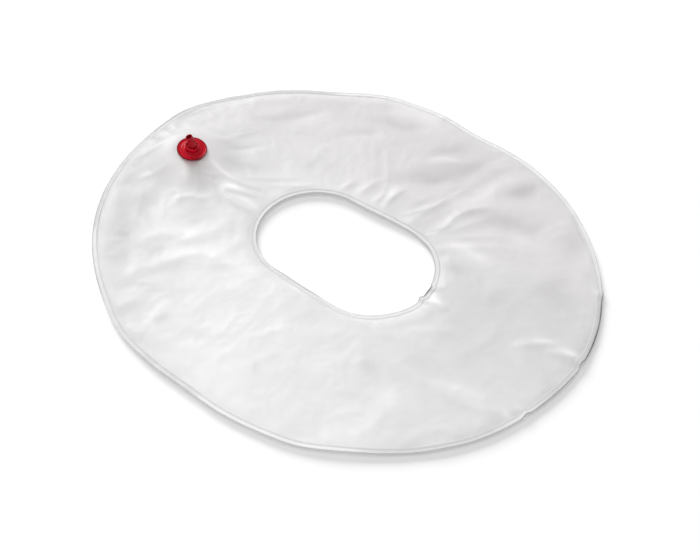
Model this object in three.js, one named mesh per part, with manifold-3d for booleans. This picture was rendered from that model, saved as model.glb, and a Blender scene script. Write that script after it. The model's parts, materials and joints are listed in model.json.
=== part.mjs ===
// Wobble cushion: a flat oval ring of clear vinyl film with an oblong hole in its middle.
// An upper and a lower film are welded together round the rim and round the hole. A red
// screw valve is clamped through the upper film at one end. Turning its nozzle one full
// turn lifts the nozzle and its washer off the seat, which lets air in or out.
// Millimetres, +Z up. The origin is on the table, under the middle of the hole.
import * as THREE from "three";
import { mergeVertices } from "three/addons/utils/BufferGeometryUtils.js";
import Module from "manifold-3d";

const wasm = await Module();
wasm.setup();

// ---- Driving dimensions ----

// The outline in plan: an ellipse, long along X.
const HALF_LENGTH = 220;
const HALF_WIDTH = 187.5;

// The hole in plan: two half circles joined by straights along X.
const HOLE_RADIUS = 50.3;
const HOLE_HALF_STRAIGHT = 30;

// The films and the weld bands that join them.
const FILM = 0.4;
const WELD_WIDTH = 4.5;
const WELD_THICKNESS = 0.7;
const WELD_UNDERSIDE = 3.6; // height above the table
const FILM_GAP = 0.05; // between a film's cut edge and the weld band beside it

// The little air inside lifts the upper film to a flat top with rolled shoulders.
const TOP_HEIGHT = 9;
const UPPER_SHOULDER = 24;
const LOWER_SHOULDER = 14;

// Where the valve stands. The soft film lets it lean a little, towards the hole.
const VALVE_X = -167.5;
const VALVE_Y = 2.8;
const VALVE_HEIGHT = 18; // the film's upper face where the valve clamps it
const VALVE_LEAN = THREE.MathUtils.degToRad(8.7);
const VALVE_LEAN_HEADING = THREE.MathUtils.degToRad(2);
const TENT_FLAT_RADIUS = 13.9; // film held flat between the gaskets
const TENT_RADIUS = 29; // beyond this the film is back at TOP_HEIGHT

// The valve, measured along its own axis from the film's upper face.
const CLAMP_GAP = 0.3; // between the pieces clamped on the film
const GASKET = 0.6;
const SHANK_RADIUS = 6.2;
const CLAMP_BORE = 6.6; // hole in the film, the gaskets and the nut
const CAVITY_RADIUS = 5.1;
const FLANGE_RADIUS = 13.1;
const CAVITY_TOP = 2.2;
const HUB_RADIUS = 6;
const HUB_TOP = 7;
const HUB_BORE = 3.15;
const MOAT_INNER = 3.75; // the round groove in the hub's top
const MOAT_OUTER = 5;
const MOAT_FLOOR = 5.4;
const SPINDLE_RADIUS = 2.9;
const BARREL_RADIUS = 3.9;
const BARREL_BOTTOM = -6.8;
const BARREL_TOP = -1.5;
const FOOT_RADIUS = 2.7;
const FOOT_BOTTOM = -10.6;
const NECK_BOTTOM = 7.6;
const NECK_RADIUS = 3.8; // at its bottom; it tapers to the spindle's radius
const NECK_TOP = 14.6;
const MOUTH_RADIUS = 3.2;
const NOZZLE_TIP = 17.4;
const AIR_BORE = 1.8;
const MOUTH_BORE = 2.5; // the bore flares to this at the tip
const MOUTH_DEPTH = 3;
const PORT_RADIUS = 0.7; // cross hole through the foot
const PORT_HEIGHT = -8;
const GROOVE_BOTTOM = 2.7; // the O-ring's groove round the spindle
const GROOVE_TOP = 3.9;

// The soft neck leans over: along an arc, and straight on above it.
const BEND_BOTTOM = 8;
const BEND_LENGTH = 4;
const BEND_ANGLE = THREE.MathUtils.degToRad(28);
const BEND_HEADING = THREE.MathUtils.degToRad(205);

// The washer hangs under the foot on its stud, and shuts on the seat's raised lip.
const WASHER = 1.35;
const WASHER_SLACK = 0.15; // above and below it, with the nozzle screwed down
const WASHER_TOP = FOOT_BOTTOM - WASHER_SLACK;
const WASHER_BOTTOM = WASHER_TOP - WASHER;
const STUD_RADIUS = 0.7;
const STUD_TOP = -9.3;
const STUD_HOLE = 0.95;
const SEAT_LIP = 0.35;
const SHANK_BOTTOM = WASHER_BOTTOM - WASHER_SLACK - SEAT_LIP;

// The screw: one right-hand thread that lifts the nozzle by its pitch in a full turn.
// The shank's ridge and the nozzle's ridge run half a pitch apart.
const PITCH = 3;
const SHANK_THREAD_START = -7.3;
const NOZZLE_THREAD_START = SHANK_THREAD_START + PITCH / 2;
const THREAD_ROOT_HALF = 0.55;
const THREAD_CREST_HALF = 0.35;

// Facets round a full circle.
const ROUND = 32;
const RING_STEPS = 60;

// ---- Geometry helpers ----

const FULL = 2 * Math.PI;

/** Makes a closed geometry a manifold solid, for cutting and joining. */
function toSolid(geometry) {
  const bare = geometry.clone();
  bare.deleteAttribute("normal");
  bare.deleteAttribute("uv");
  const merged = mergeVertices(bare, 1e-4);
  const mesh = new wasm.Mesh({
    numProp: 3,
    vertProperties: merged.attributes.position.array,
    triVerts: new Uint32Array(merged.index.array),
  });
  return new wasm.Manifold(mesh);
}

/** Turns a manifold solid back into a geometry. */
function toGeometry(solid) {
  const mesh = solid.getMesh();
  const geometry = new THREE.BufferGeometry();
  geometry.setAttribute("position", new THREE.BufferAttribute(mesh.vertProperties, 3));
  geometry.setIndex(new THREE.BufferAttribute(mesh.triVerts, 1));
  return geometry;
}

/** Revolves a closed [radius, height] profile, listed anticlockwise, about Z. */
function turned(profile, segments = ROUND) {
  const points = [...profile, profile[0]].map(([r, z]) => new THREE.Vector2(r, z));
  const geometry = new THREE.LatheGeometry(points, segments);
  geometry.rotateX(Math.PI / 2);
  return geometry;
}

/** Leans over what is above BEND_BOTTOM, along an arc and then straight on. */
function bent(geometry) {
  const position = geometry.attributes.position;
  const radius = BEND_LENGTH / BEND_ANGLE;
  const [c, s] = [Math.cos(BEND_HEADING), Math.sin(BEND_HEADING)];
  for (let i = 0; i < position.count; i++) {
    const above = position.getZ(i) - BEND_BOTTOM;
    if (above <= 0) continue;
    const turn = Math.min(above / BEND_LENGTH, 1) * BEND_ANGLE;
    const beyond = Math.max(above - BEND_LENGTH, 0);
    const along = position.getX(i) * c + position.getY(i) * s;
    const across = position.getY(i) * c - position.getX(i) * s;
    const out = radius * (1 - Math.cos(turn)) + beyond * Math.sin(turn) + along * Math.cos(turn);
    const up = radius * Math.sin(turn) + beyond * Math.cos(turn) - along * Math.sin(turn);
    position.setXYZ(i, out * c - across * s, out * s + across * c, BEND_BOTTOM + up);
  }
  return geometry;
}

/** A flat ring about Z. */
function flatRing(inner, outer, bottom, top, segments = ROUND) {
  return turned([[inner, bottom], [outer, bottom], [outer, top], [inner, top]], segments);
}

/** A closed sheet from a grid of points: top(i, j) and bottom(i, j), closed round i. */
function sheetGeometry(around, across, top, bottom) {
  const positions = [];
  const triangles = [];
  const index = (i, j, side) => ((i % around) * (across + 1) + j) * 2 + side;
  for (let i = 0; i < around; i++) {
    for (let j = 0; j <= across; j++) {
      positions.push(...top(i, j), ...bottom(i, j));
    }
  }
  const quad = (a, b, c, d) => triangles.push(a, b, c, a, c, d);
  for (let i = 0; i < around; i++) {
    for (let j = 0; j < across; j++) {
      quad(index(i, j, 0), index(i, j + 1, 0), index(i + 1, j + 1, 0), index(i + 1, j, 0));
      quad(index(i, j, 1), index(i + 1, j, 1), index(i + 1, j + 1, 1), index(i, j + 1, 1));
    }
    quad(index(i, 0, 0), index(i + 1, 0, 0), index(i + 1, 0, 1), index(i, 0, 1));
    quad(index(i, across, 0), index(i, across, 1), index(i + 1, across, 1), index(i + 1, across, 0));
  }
  const geometry = new THREE.BufferGeometry();
  geometry.setAttribute("position", new THREE.Float32BufferAttribute(positions, 3));
  geometry.setIndex(triangles);
  return geometry;
}

/** A helical ridge about Z, from its root's radius out (or in) to its crest's radius. */
function threadRidge(rootRadius, crestRadius, startHeight, turns) {
  const steps = Math.round(turns * ROUND);
  const section = [
    [rootRadius, -THREAD_ROOT_HALF],
    [crestRadius, -THREAD_CREST_HALF],
    [crestRadius, THREAD_CREST_HALF],
    [rootRadius, THREAD_ROOT_HALF],
  ];
  if (crestRadius < rootRadius) section.reverse();
  const positions = [];
  for (let i = 0; i <= steps; i++) {
    const angle = (i / ROUND) * FULL;
    const height = startHeight + (i / ROUND) * PITCH;
    for (const [r, z] of section) {
      positions.push(r * Math.cos(angle), r * Math.sin(angle), height + z);
    }
  }
  const triangles = [];
  const quad = (a, b, c, d) => triangles.push(a, b, c, a, c, d);
  for (let i = 0; i < steps; i++) {
    for (let k = 0; k < 4; k++) {
      const next = (k + 1) % 4;
      quad(i * 4 + k, (i + 1) * 4 + k, (i + 1) * 4 + next, i * 4 + next);
    }
  }
  quad(0, 1, 2, 3);
  quad(steps * 4 + 3, steps * 4 + 2, steps * 4 + 1, steps * 4);
  const geometry = new THREE.BufferGeometry();
  geometry.setAttribute("position", new THREE.Float32BufferAttribute(positions, 3));
  geometry.setIndex(triangles);
  return toSolid(geometry);
}

// ---- The ring in plan ----

/** How far the hole's edge lies from the centre, in the direction angle. */
function holeReach(angle) {
  const c = Math.abs(Math.cos(angle));
  const s = Math.abs(Math.sin(angle));
  if (s > 0 && (HOLE_RADIUS * c) / s <= HOLE_HALF_STRAIGHT) return HOLE_RADIUS / s;
  const along = HOLE_HALF_STRAIGHT * c;
  return along + Math.sqrt(HOLE_RADIUS ** 2 - (HOLE_HALF_STRAIGHT * s) ** 2);
}

/** How far the outer rim lies from the centre, in the direction angle. */
function rimReach(angle) {
  return 1 / Math.hypot(Math.cos(angle) / HALF_LENGTH, Math.sin(angle) / HALF_WIDTH);
}

/** The point a distance out from the hole's edge. */
function fromHole(angle, distance) {
  const reach = holeReach(angle) + distance;
  return [reach * Math.cos(angle), reach * Math.sin(angle)];
}

/** The point a distance in from the outer rim. */
function fromRim(angle, distance) {
  const reach = rimReach(angle) - distance;
  return [reach * Math.cos(angle), reach * Math.sin(angle)];
}

/** A film: its upper face is at height(distance from the nearer weld band). */
function ringSheet(stations, height) {
  const columns = [
    ...stations.map((distance) => ({ side: fromHole, distance })),
    ...stations.map((distance) => ({ side: fromRim, distance })).reverse(),
  ];
  const at = (drop) => (i, j) => {
    const { side, distance } = columns[j];
    const [x, y] = side((i / RING_STEPS) * FULL, WELD_WIDTH + FILM_GAP + distance);
    return [x, y, height(distance) - drop];
  };
  return sheetGeometry(RING_STEPS, columns.length - 1, at(0), at(FILM));
}

/** The flat weld band along the hole, or along the rim. */
function weldBand(side) {
  const [inner, outer] = side === fromHole ? [0, WELD_WIDTH] : [WELD_WIDTH, 0];
  const at = (height) => (i, j) => {
    return [...side((i / RING_STEPS) * FULL, j === 0 ? inner : outer), height];
  };
  const top = WELD_UNDERSIDE + WELD_THICKNESS;
  return sheetGeometry(RING_STEPS, 1, at(top), at(WELD_UNDERSIDE));
}

// ---- The films ----

/** 0 at the weld, rising to 1 where the shoulder ends. */
function shoulder(distance, length) {
  const left = Math.max(0, 1 - distance / length);
  return 1 - left * left;
}

const weldMiddle = WELD_UNDERSIDE + WELD_THICKNESS / 2;
const upperAtWeld = weldMiddle + FILM_GAP / 2 + FILM;
const lowerAtWeld = weldMiddle - FILM_GAP / 2;

function upperHeight(distance) {
  return upperAtWeld + (TOP_HEIGHT - upperAtWeld) * shoulder(distance, UPPER_SHOULDER);
}

function lowerHeight(distance) {
  return lowerAtWeld + (FILM - lowerAtWeld) * shoulder(distance, LOWER_SHOULDER);
}

/** The valve's axis, and how high its clamping plane lies over a point of the plan. */
const valveAxis = new THREE.Vector3(
  Math.sin(VALVE_LEAN) * Math.cos(VALVE_LEAN_HEADING),
  Math.sin(VALVE_LEAN) * Math.sin(VALVE_LEAN_HEADING),
  Math.cos(VALVE_LEAN),
);

function clampPlaneHeight(dx, dy) {
  return VALVE_HEIGHT - (valveAxis.x * dx + valveAxis.y * dy) / valveAxis.z;
}

/** The film drawn up to the valve like a tent: flat under the flange, then falling away. */
function tentHeight(dx, dy) {
  const reach = Math.hypot(dx, dy);
  const span = TENT_RADIUS - TENT_FLAT_RADIUS;
  const fall = THREE.MathUtils.clamp((reach - TENT_FLAT_RADIUS) / span, 0, 1);
  const share = (1 - fall) ** 1.7;
  return TOP_HEIGHT + share * (clampPlaneHeight(dx, dy) - TOP_HEIGHT);
}

function tentSheet() {
  const slope = [0.12, 0.28, 0.5, 0.75, 1].map((share) => {
    return TENT_FLAT_RADIUS + share * (TENT_RADIUS - TENT_FLAT_RADIUS);
  });
  const radii = [4, TENT_FLAT_RADIUS, ...slope, TENT_RADIUS + 0.5];
  const at = (drop) => (i, j) => {
    const angle = (i / ROUND) * FULL;
    const dx = radii[j] * Math.cos(angle);
    const dy = radii[j] * Math.sin(angle);
    return [VALVE_X + dx, VALVE_Y + dy, tentHeight(dx, dy) - drop];
  };
  return sheetGeometry(ROUND, radii.length - 1, at(0), at(FILM));
}

/** An upright cylinder through the whole film, for cutting. */
function cutter(radius, length, segments = ROUND) {
  const geometry = new THREE.CylinderGeometry(radius, radius, length, segments);
  geometry.rotateX(Math.PI / 2);
  return geometry;
}

function upperFilm() {
  const sheet = toSolid(ringSheet([0, 2, 5, 9, 14, UPPER_SHOULDER], upperHeight));
  const opening = cutter(TENT_RADIUS, 60);
  opening.translate(VALVE_X, VALVE_Y, 0);
  const hole = cutter(CLAMP_BORE, 20);
  hole.applyMatrix4(valveFrame());
  const tent = toSolid(tentSheet()).subtract(toSolid(hole));
  return toGeometry(sheet.subtract(toSolid(opening)).add(tent));
}

function lowerFilm() {
  return ringSheet([0, 2, 5, 9, LOWER_SHOULDER], lowerHeight);
}

// ---- The valve, each piece about its own axis ----

/** Places the valve's axis in the cushion. */
function valveFrame() {
  const up = new THREE.Vector3(0, 0, 1);
  const turn = new THREE.Quaternion().setFromUnitVectors(up, valveAxis);
  const place = new THREE.Vector3(VALVE_X, VALVE_Y, VALVE_HEIGHT);
  return new THREE.Matrix4().compose(place, turn, new THREE.Vector3(1, 1, 1));
}

/** Flange with a raised lip, hub with a moat in its top, and a hollow shank threaded inside. */
function valveBody() {
  const flangeBottom = CLAMP_GAP + GASKET + CLAMP_GAP;
  const flangeTop = flangeBottom + 1.4;
  const body = toSolid(
    turned([
      [CAVITY_RADIUS, SHANK_BOTTOM],
      [SHANK_RADIUS, SHANK_BOTTOM],
      [SHANK_RADIUS, flangeBottom],
      [FLANGE_RADIUS - 0.5, flangeBottom],
      [FLANGE_RADIUS, flangeBottom + 0.5],
      [FLANGE_RADIUS, flangeTop],
      [FLANGE_RADIUS - 0.4, flangeTop + 0.4],
      [FLANGE_RADIUS - 1.0, flangeTop + 0.4],
      [FLANGE_RADIUS - 1.4, flangeTop],
      [9.2, flangeTop],
      [8.8, flangeTop + 0.3],
      [HUB_RADIUS + 0.5, flangeTop + 0.4],
      [HUB_RADIUS, flangeTop + 0.9],
      [HUB_RADIUS, HUB_TOP - 0.4],
      [HUB_RADIUS - 0.4, HUB_TOP],
      [MOAT_OUTER, HUB_TOP],
      [MOAT_OUTER, MOAT_FLOOR],
      [MOAT_INNER, MOAT_FLOOR],
      [MOAT_INNER, HUB_TOP],
      [HUB_BORE, HUB_TOP],
      [HUB_BORE, CAVITY_TOP],
      [CAVITY_RADIUS, CAVITY_TOP],
    ]),
  );
  const thread = threadRidge(CAVITY_RADIUS + 0.3, 4.25, SHANK_THREAD_START, 1.5);
  return toGeometry(body.add(thread));
}

/** Hollow spindle: mouthpiece, bent neck, O-ring groove, threaded barrel and ported foot. */
function nozzle() {
  const stations = [0, 0.8, 1.6, 2.4, 3.2, BEND_LENGTH].map((above) => BEND_BOTTOM + above);
  const taper = (NECK_RADIUS - SPINDLE_RADIUS) / (NECK_TOP - NECK_BOTTOM);
  const neck = [NECK_BOTTOM, ...stations].map((height) => {
    return [NECK_RADIUS - taper * (height - NECK_BOTTOM), height];
  });
  const outside = bent(
    turned([
      [0, FOOT_BOTTOM],
      [FOOT_RADIUS, FOOT_BOTTOM],
      [FOOT_RADIUS, BARREL_BOTTOM],
      [BARREL_RADIUS, BARREL_BOTTOM],
      [BARREL_RADIUS, BARREL_TOP],
      [SPINDLE_RADIUS, BARREL_TOP + 0.6],
      [SPINDLE_RADIUS, GROOVE_BOTTOM],
      [2.1, GROOVE_BOTTOM],
      [2.1, GROOVE_TOP],
      [SPINDLE_RADIUS, GROOVE_TOP],
      [SPINDLE_RADIUS, HUB_TOP + 0.3],
      ...neck,
      [SPINDLE_RADIUS, NECK_TOP],
      [MOUTH_RADIUS, NECK_TOP + 1],
      [MOUTH_RADIUS, NOZZLE_TIP - 0.3],
      [MOUTH_RADIUS - 0.2, NOZZLE_TIP],
      [0, NOZZLE_TIP],
    ]),
  );
  const boreTop = NOZZLE_TIP + 2;
  const bore = bent(
    turned([
      [0, PORT_HEIGHT],
      [AIR_BORE, PORT_HEIGHT],
      ...stations.map((height) => [AIR_BORE, height]),
      [AIR_BORE, NOZZLE_TIP - MOUTH_DEPTH],
      [MOUTH_BORE, NOZZLE_TIP],
      [MOUTH_BORE, boreTop],
      [0, boreTop],
    ], 20),
  );
  const studHole = cutter(STUD_HOLE, 2 * (STUD_TOP + 0.2 - FOOT_BOTTOM), 12);
  studHole.translate(0, 0, FOOT_BOTTOM);
  const port = new THREE.CylinderGeometry(PORT_RADIUS, PORT_RADIUS, 3 * FOOT_RADIUS, 12);
  port.rotateZ(Math.PI / 2);
  port.translate(0, 0, PORT_HEIGHT);
  const thread = threadRidge(BARREL_RADIUS - 0.3, 4.7, NOZZLE_THREAD_START, 1.25);
  const cuts = [bore, studHole, port].map(toSolid);
  return toGeometry(cuts.reduce((left, cut) => left.subtract(cut), toSolid(outside).add(thread)));
}

/** Soft ring that seals the spindle in the hub. */
function oRing() {
  const section = [];
  const middle = (GROOVE_BOTTOM + GROOVE_TOP) / 2;
  for (let i = 0; i < 8; i++) {
    const angle = ((i + 0.5) / 8) * FULL;
    section.push([2.6 + 0.4 * Math.cos(angle), middle + 0.4 * Math.sin(angle)]);
  }
  return turned(section, 24);
}

/** Nut that clamps the film from inside, with eight finger notches. */
function backingNut() {
  const top = -FILM - CLAMP_GAP - GASKET - CLAMP_GAP;
  let nut = toSolid(flatRing(CLAMP_BORE, 10.4, top - 3, top));
  for (let i = 0; i < 8; i++) {
    const notch = cutter(1.2, 10, 12);
    notch.translate(10.9, 0, top);
    notch.rotateZ(((i + 0.5) / 8) * FULL);
    nut = nut.subtract(toSolid(notch));
  }
  return toGeometry(nut);
}

function upperGasket() {
  return flatRing(CLAMP_BORE, 11.8, CLAMP_GAP, CLAMP_GAP + GASKET);
}

function lowerGasket() {
  const top = -FILM - CLAMP_GAP;
  return flatRing(CLAMP_BORE, 11.2, top - GASKET, top);
}

/** Ring in the shank's lower end. The washer shuts on the lip round its hole. */
function seatPlug() {
  return turned([
    [2.3, SHANK_BOTTOM - 2],
    [SHANK_RADIUS, SHANK_BOTTOM - 2],
    [SHANK_RADIUS, SHANK_BOTTOM - CLAMP_GAP],
    [4.8, SHANK_BOTTOM - CLAMP_GAP],
    [4.8, SHANK_BOTTOM + 0.6],
    [4.0, SHANK_BOTTOM + 0.6],
    [4.0, SHANK_BOTTOM],
    [3.2, SHANK_BOTTOM],
    [3.0, SHANK_BOTTOM + SEAT_LIP],
    [2.6, SHANK_BOTTOM + SEAT_LIP],
    [2.3, SHANK_BOTTOM],
  ]);
}

/** Soft washer under the nozzle's foot. */
function sealWasher() {
  return flatRing(STUD_HOLE, 3.5, WASHER_BOTTOM, WASHER_TOP, 24);
}

/** Stud that holds the washer to the foot and lets the nozzle turn on it. */
function washerStud() {
  const head = WASHER_BOTTOM - 0.1;
  const profile = [
    [0, head - 0.7],
    [1.4, head - 0.7],
    [1.6, head],
    [STUD_RADIUS, head],
    [STUD_RADIUS, STUD_TOP],
    [0, STUD_TOP],
  ];
  return turned(profile, 20);
}

// ---- Materials ----

const clearVinyl = { color: 0xe9eaec, roughness: 0.28, metalness: 0 };
const weldedVinyl = { color: 0xf2f3f5, roughness: 0.15, metalness: 0 };
const softVinyl = { color: 0xdfe0e0, roughness: 0.4, metalness: 0 };
const redPlastic = { color: 0xb80a1c, roughness: 0.3, metalness: 0 };
const blackRubber = { color: 0x1c1c1e, roughness: 0.7, metalness: 0 };
const whitePlastic = { color: 0xf0efe9, roughness: 0.4, metalness: 0 };

function piece(name, geometry, finish) {
  const mesh = new THREE.Mesh(geometry, new THREE.MeshStandardMaterial(finish));
  mesh.name = name;
  return mesh;
}

// ---- Assembly ----

const cushion = new THREE.Group();
cushion.add(
  piece("upper_film", upperFilm(), clearVinyl),
  piece("lower_film", lowerFilm(), clearVinyl),
  piece("outer_weld", weldBand(fromRim), weldedVinyl),
  piece("inner_weld", weldBand(fromHole), weldedVinyl),
);

const valve = new THREE.Group();
valve.applyMatrix4(valveFrame());
valve.add(
  piece("valve_body", valveBody(), redPlastic),
  piece("backing_nut", backingNut(), redPlastic),
  piece("seat_plug", seatPlug(), redPlastic),
  piece("upper_gasket", upperGasket(), softVinyl),
  piece("lower_gasket", lowerGasket(), softVinyl),
  piece("nozzle", nozzle(), redPlastic),
  piece("nozzle_o_ring", oRing(), blackRubber),
  piece("seal_washer", sealWasher(), blackRubber),
  piece("washer_stud", washerStud(), whitePlastic),
);
cushion.add(valve);

export default cushion;
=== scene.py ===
"""The looks of the wobble cushion: two wrinkled vinyl films, their welds, and a red valve.

Everything is in metres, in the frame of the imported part: X along the ring, Z up from
the table. Sizes that the eye reads in millimetres are written in millimetres, times MM.
"""

import json
import math

import bmesh
import bpy
import numpy as np
from mathutils import Matrix, Vector, noise


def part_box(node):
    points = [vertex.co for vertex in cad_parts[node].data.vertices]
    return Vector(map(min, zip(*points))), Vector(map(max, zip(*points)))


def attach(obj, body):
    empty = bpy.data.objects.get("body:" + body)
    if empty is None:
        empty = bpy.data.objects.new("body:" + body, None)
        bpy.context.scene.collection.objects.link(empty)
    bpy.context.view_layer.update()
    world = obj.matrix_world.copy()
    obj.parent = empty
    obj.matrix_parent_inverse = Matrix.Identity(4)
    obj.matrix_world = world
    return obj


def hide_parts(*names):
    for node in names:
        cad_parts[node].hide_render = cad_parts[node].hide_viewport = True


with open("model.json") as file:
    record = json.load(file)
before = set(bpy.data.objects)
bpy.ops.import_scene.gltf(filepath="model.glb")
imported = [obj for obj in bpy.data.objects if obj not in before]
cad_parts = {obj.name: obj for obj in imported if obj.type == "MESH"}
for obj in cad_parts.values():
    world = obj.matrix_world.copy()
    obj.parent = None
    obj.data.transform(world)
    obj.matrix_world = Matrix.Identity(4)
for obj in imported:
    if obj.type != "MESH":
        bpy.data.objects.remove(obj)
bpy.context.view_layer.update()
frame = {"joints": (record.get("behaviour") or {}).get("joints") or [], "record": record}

MM = 0.001
FULL_TURN = 2 * math.pi

# ---- Driving dimensions, from the frame ----

rim_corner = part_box("outer_weld")[1]
HALF_LENGTH, HALF_WIDTH = rim_corner.x, rim_corner.y
WELD_WIDTH = 4.5 * MM
hole_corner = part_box("inner_weld")[1]
HOLE_RADIUS = hole_corner.y - WELD_WIDTH
HOLE_STRAIGHT = hole_corner.x - hole_corner.y

turning = next(joint for joint in frame["joints"] if joint["name"] == "nozzle_turn")
VALVE_PLACE = Vector(turning["pos_m"])
VALVE_AXIS = Vector(turning["axis"]).normalized()
VALVE_FRAME = (Matrix.Translation(VALVE_PLACE)
               @ Vector((0, 0, 1)).rotation_difference(VALVE_AXIS).to_matrix().to_4x4())

# The nozzle's neck leans over as far as its mouth does in the frame.
mouth = next(mount for mount in frame["record"]["mounts"] if mount["name"] == "nozzle_tip")
mouth_axis = VALVE_FRAME.to_3x3().inverted() @ Vector(mouth["axis"])
BEND_ANGLE = mouth_axis.angle(Vector((0, 0, 1)))
BEND_HEADING = math.atan2(mouth_axis.y, mouth_axis.x)
BEND_BOTTOM, BEND_LENGTH = 8.0, 4.0  # millimetres along the valve's axis

# Heights above the table: the upper film between its rolled edges, the lower film where it
# lies flat, and the middle of a weld.
UPPER_LEVEL = 6.4 * MM
LOWER_LEVEL = 0.3 * MM
WELD_LEVEL = 4.2 * MM

# How far each film's rolled edge reaches in from a weld, and what keeps the films apart there.
UPPER_SHOULDER = 12 * MM
LOWER_SHOULDER = 9 * MM
HALF_GAP = 0.2 * MM

# ---- Meshes ----


def mesh_object(name, points, faces, material):
    """A smooth-shaded object from points and faces."""
    mesh = bpy.data.meshes.new(name)
    mesh.from_pydata(points, [], faces)
    mesh.materials.append(material)
    mesh.polygons.foreach_set("use_smooth", [True] * len(mesh.polygons))
    mesh.update()
    made = bpy.data.objects.new(name, mesh)
    bpy.context.scene.collection.objects.link(made)
    return made


def ring_faces(around, across, closed=False):
    """Quads of a grid that closes round its first index, and round its second if closed."""
    last = across if closed else across - 1
    i, j = np.meshgrid(np.arange(around), np.arange(last), indexing="ij")
    row, next_row = i * across, (i + 1) % around * across
    next_j = (j + 1) % across
    corners = [row + j, row + next_j, next_row + next_j, next_row + j]
    if closed:
        corners.reverse()
    return np.stack(corners, axis=-1).reshape(-1, 4)


def grid_object(name, grid, material, closed=False):
    """An object from grid[i, j] = point."""
    around, across = grid.shape[:2]
    faces = ring_faces(around, across, closed)
    return mesh_object(name, grid.reshape(-1, 3).tolist(), faces.tolist(), material)


def point_values(made, name, values):
    """Stores one number a point, for the material to read."""
    made.data.attributes.new(name, "FLOAT", "POINT").data.foreach_set("value", np.ravel(values))


# ---- The ring in plan ----


def angle_between(angle, degrees):
    """How far each angle is from a direction, in degrees, from -180 to 180."""
    return (np.degrees(angle) - degrees + 180) % 360 - 180


def peak(values, place, width):
    """1 at one place, falling to 0 over about width."""
    return np.exp(-(((values - place) / width) ** 2))


def bump(angle, degrees, width):
    """1 in one direction, falling to 0 over about width degrees."""
    return peak(angle_between(angle, degrees), 0, width)


def wander(x, y, size, seed):
    """Smooth noise from -1 to 1, about size across."""
    flat = np.stack([np.ravel(x) / size, np.ravel(y) / size], axis=1)
    values = [noise.noise((a, b, seed)) for a, b in flat.tolist()]
    return np.array(values).reshape(np.shape(x))


# Flats and bulges of the soft rim: direction in degrees, millimetres inward, width in degrees.
RIM_FLATS = [(87, 5.4, 10), (132, 3.2, 11), (267, 3.0, 10), (352, 2.5, 12)]
RIM_BULGES = [
    (53, -1.6, 9), (116, -1.8, 7), (167, -1.6, 8), (243, -2.2, 8), (298, -2.6, 9), (278, -0.9, 55),
]

# Kinks of the two edges: direction, millimetres inward, millimetres up, width in degrees.
RIM_KINKS = [(99, 0.5, 0.8, 1.2), (25, -0.9, 1.0, 1.1), (5, 0.9, 1.6, 0.9), (347.5, 0.9, 1.8, 0.9)]
HOLE_KINKS = [(358, 1.3, 1.4, 1.8), (8, -1.1, 2.0, 2.2)]

# The hole's own flats and bulges.
HOLE_BULGES = [(65, -2.2, 42), (118, 2.6, 60), (215, 1.7, 55), (352, -0.9, 10)]

# Stretches of the welds: direction, half width in degrees, strength.
# Painted shade on the cut edges: darker where the strength is above 0, lighter below 0.
RIM_EDGE_SHADE = [(15.5, 10.5, 0.52), (355, 7, 0.22), (215, 18, 0.2), (70, 30, 0.12), (172, 5, 0.25)]
HOLE_EDGE_SHADE = [(262, 25, 0.25), (24, 22, 0.2), (115, 70, -0.05), (3, 6, 0.4), (310, 28, -0.04)]
# Painted highlight along the channel between a weld's beads, or painted shade there if below 0.
RIM_PAINTED_SHINE = [
    (291, 20, 1.0), (346, 3, 0.5), (170, 40, -0.3), (328, 14, -0.1), (10, 16, -0.15), (80, 48, 0.4),
]
HOLE_PAINTED_SHINE = [(75, 45, 0.5)]
# Painted shade on the bead beside the films, or a painted lighter stretch if below 0.
RIM_BEAD_SHADE = [(165, 50, 0.14), (345, 32, -0.04)]
HOLE_BEAD_SHADE = [(20, 60, 0.06), (300, 55, -0.05)]


def stretch_of(angle, stretches):
    """The sum of strengths of the stretches that each angle lies in, with soft ends."""
    soft_end = 1.2
    total = np.zeros_like(angle)
    for degrees, half_width, strength in stretches:
        inside = half_width - np.abs(angle_between(angle, degrees))
        total = total + strength / (1 + np.exp(-inside / soft_end))
    return total


def sideways(kinks):
    """What kinks do in plan, without how far they go up."""
    return [(degrees, inward, width) for degrees, inward, _, width in kinks]


def pushed_in(reach, angle, bumps):
    """Moves an edge inward at each (direction, millimetres, width) of a list."""
    for degrees, inward, width in bumps:
        reach = reach - inward * MM * bump(angle, degrees, width)
    return reach


def hole_reach(angle):
    """How far the hole's edge lies from the middle."""
    c, s = np.abs(np.cos(angle)), np.maximum(np.abs(np.sin(angle)), 1e-9)
    along = HOLE_STRAIGHT * c
    arc = along + np.sqrt(np.maximum(HOLE_RADIUS**2 - (HOLE_STRAIGHT * s) ** 2, 0))
    reach = np.where(HOLE_RADIUS * c / s <= HOLE_STRAIGHT, HOLE_RADIUS / s, arc)
    return pushed_in(reach, angle, HOLE_BULGES + sideways(HOLE_KINKS))


def rim_reach(angle):
    """How far the outer rim lies from the middle."""
    reach = 1 / np.hypot(np.cos(angle) / HALF_LENGTH, np.sin(angle) / HALF_WIDTH)
    return pushed_in(reach, angle, RIM_FLATS + RIM_BULGES + sideways(RIM_KINKS))


def edge_height(angle, reach, kinks, seed):
    """The height of a weld's middle: never quite level, and up at its kinks."""
    x, y = reach * np.cos(angle), reach * np.sin(angle)
    height = WELD_LEVEL + 0.9 * MM * wander(x, y, 60 * MM, seed)
    height = height + 0.45 * MM * wander(x, y, 17 * MM, seed + 5)
    for degrees, _, up, width in kinks:
        height = height + up * MM * bump(angle, degrees, width)
    return height


def rim_height(angle):
    """The valve's pull lifts the rim beside it, and the near rim curls up a little."""
    level = edge_height(angle, rim_reach(angle), RIM_KINKS, 3.1)
    return level + 3.2 * MM * bump(angle, 170, 11) + 1.3 * MM * bump(angle, 278, 60)


def hole_height(angle):
    """The slack far side of the hole stands a little off the table."""
    level = edge_height(angle, hole_reach(angle), HOLE_KINKS, 7.7)
    return level + 2.6 * MM * bump(angle, 105, 62)


# ---- Creases of the upper film ----

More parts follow.
